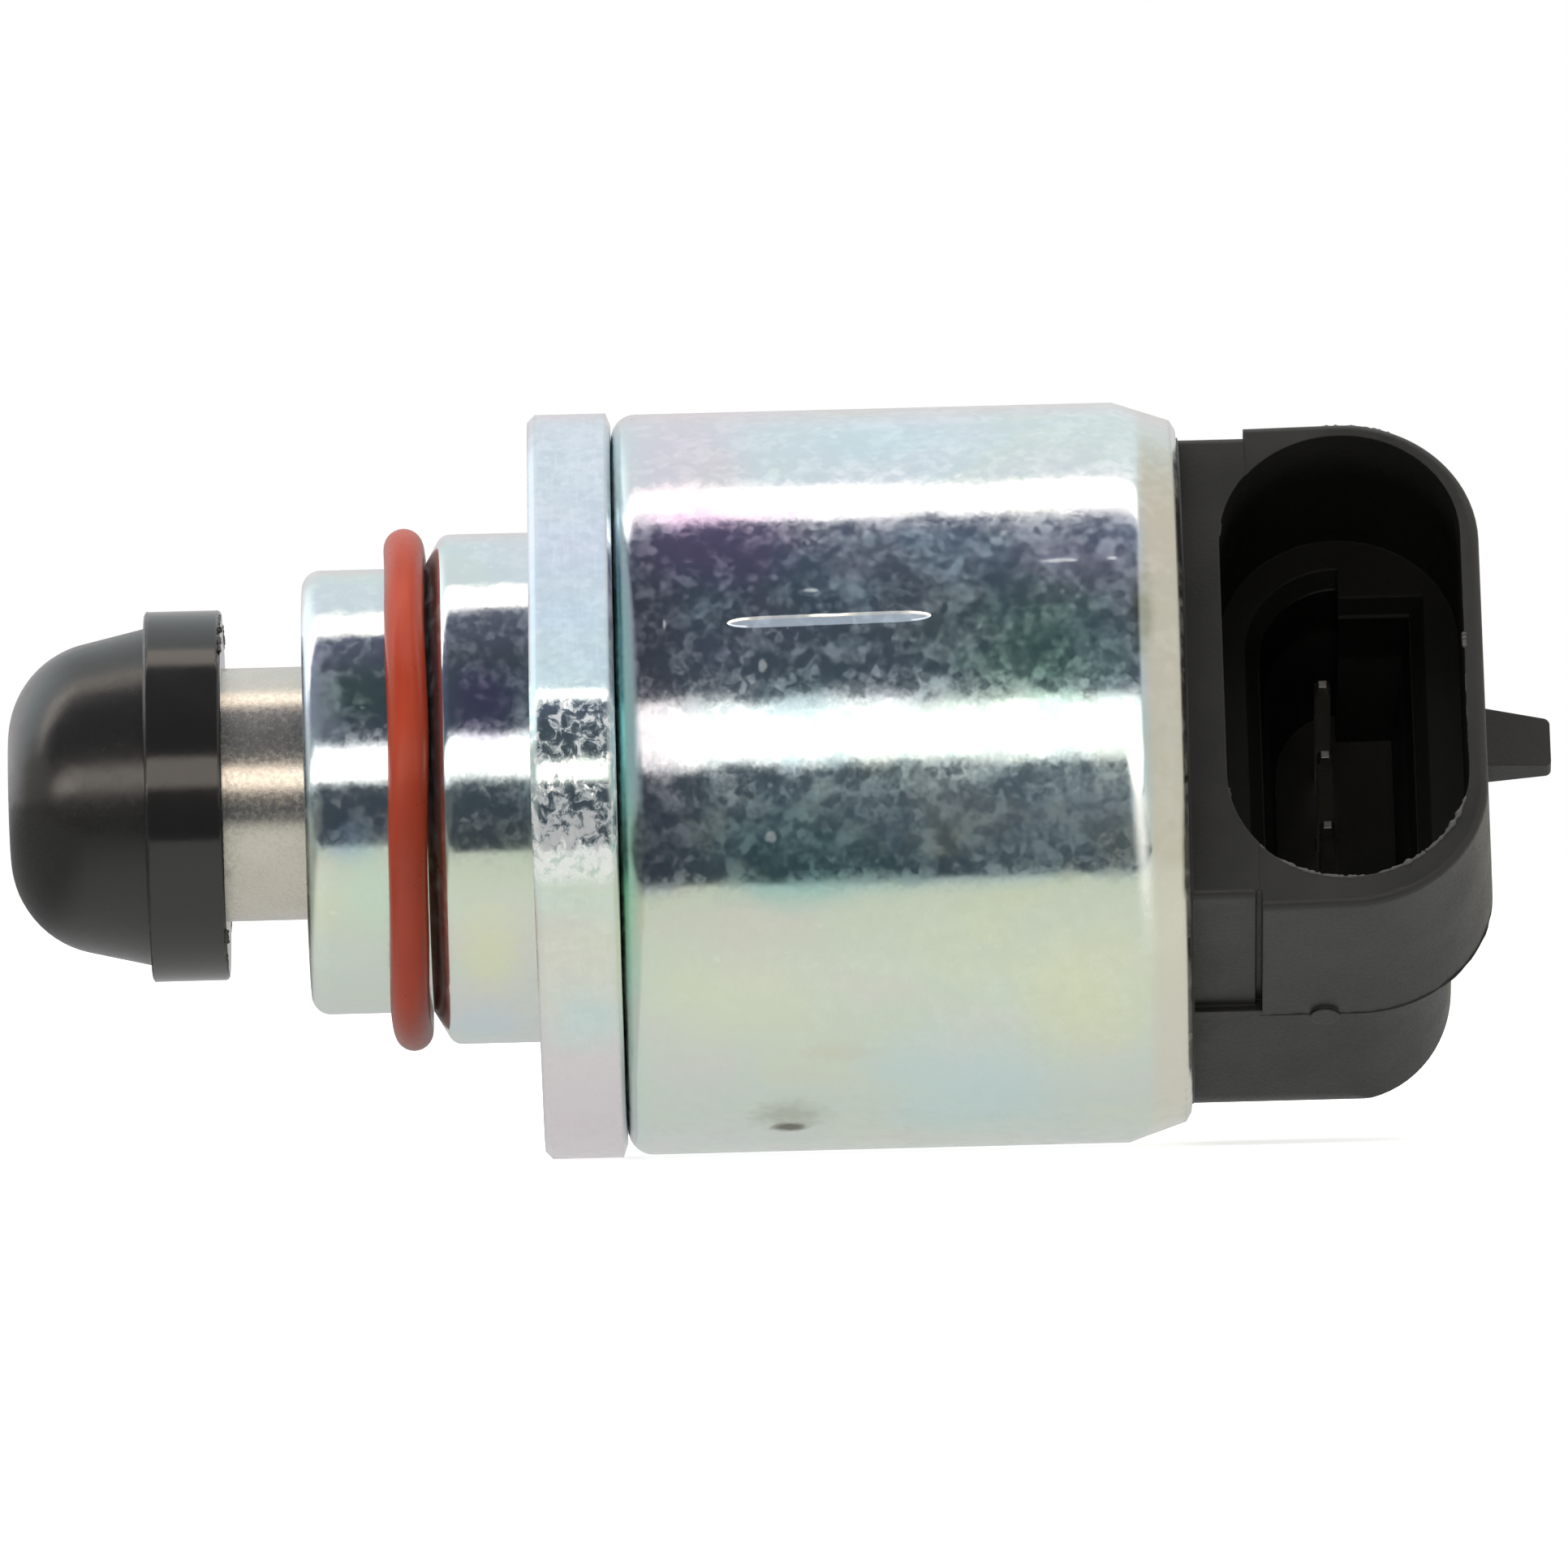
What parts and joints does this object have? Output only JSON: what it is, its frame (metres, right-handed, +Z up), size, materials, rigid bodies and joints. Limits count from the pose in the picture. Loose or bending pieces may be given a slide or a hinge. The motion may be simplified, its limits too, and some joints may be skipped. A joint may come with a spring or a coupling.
{
  "type": "idle air control valve",
  "caption": "Stepper-motor idle air valve: plated can and eared flange, round-nosed black pintle on a steel sleeve, red sealing ring, black plug socket.",
  "frame": {"origin": "on the valve's axis, in the flange's front mounting face, midway between the two screw holes", "axes": "-X along the axis towards the pintle, +X towards the plug socket, Y through the flange's two ears, +Z up; the socket opens towards -Y and 30 degrees up"},
  "size_m": [0.0625, 0.0508, 0.0302],
  "materials": {
    "black_plastic_gloss": "black moulded plastic, polished by the mould",
    "black_plastic": "black glass-filled plastic, satin",
    "sleeve_steel": "warm grey nickel, finely speckled",
    "zinc_plating": "bright zinc plating with a faint rainbow tint",
    "zinc_flange": "bright zinc plating, sheared edges",
    "silicone": "red-orange silicone rubber",
    "screw_steel": "turned steel",
    "natural_plastic": "natural plastic",
    "bearing_steel": "ground steel",
    "cage_plastic": "brown plastic",
    "stator_sheet": "pressed soft-iron sheet",
    "copper": "enamelled copper wire",
    "magnet": "moulded ferrite",
    "hub_plastic": "dark grey plastic",
    "brass": "turned brass",
    "bronze": "sintered bronze",
    "spring_steel": "spring steel",
    "black_rubber": "black rubber",
    "terminal": "tinned brass"
  },
  "bodies": {
    "body": {"nose_housing": "zinc_plating", "sealing_ring": "silicone", "flange_plate": "zinc_flange", "motor_can": "zinc_plating", "guide_bush": "natural_plastic", "bearing_outer_race": "bearing_steel", "stator_cup_front": "stator_sheet", "stator_plate_front": "stator_sheet", "stator_plate_rear": "stator_sheet", "stator_cup_rear": "stator_sheet", "former_front": "natural_plastic", "former_rear": "natural_plastic", "coil_front": "copper", "coil_rear": "copper", "rear_bush": "bronze", "preload_washer": "spring_steel", "cap_seal_ring": "black_rubber", "end_cap": "black_plastic", "terminal_1": "terminal", "terminal_2": "terminal", "terminal_3": "terminal", "terminal_4": "terminal"},
    "rotor": {"rotor_magnet": "magnet", "rotor_hub": "hub_plastic", "nut_insert": "brass", "bearing_inner_race": "bearing_steel"},
    "bearing_cage": {"bearing_balls": "bearing_steel", "bearing_cage": "cage_plastic"},
    "pintle": {"pintle_cap": "black_plastic_gloss", "pintle_sleeve": "sleeve_steel", "lead_screw": "screw_steel"}
  },
  "joints": [
    {"name": "pintle_slide", "type": "slide", "parent": "body", "child": "pintle", "axis": [-1, 0, 0], "range_m": [-0.003, 0.0055]},
    {"name": "rotor_spin", "type": "hinge", "parent": "body", "child": "rotor", "pos_m": [0, 0, 0], "axis": [1, 0, 0], "range_deg": [-1081, 1981]},
    {"name": "cage_spin", "type": "hinge", "parent": "body", "child": "bearing_cage", "pos_m": [0, 0, 0], "axis": [1, 0, 0], "range_deg": [-427, 782.5]}
  ],
  "couplings": [
    {"joint": "rotor_spin", "follows": "pintle_slide", "rad_per_m": 6283.2},
    {"joint": "cage_spin", "follows": "pintle_slide", "rad_per_m": 2481.9}
  ]
}
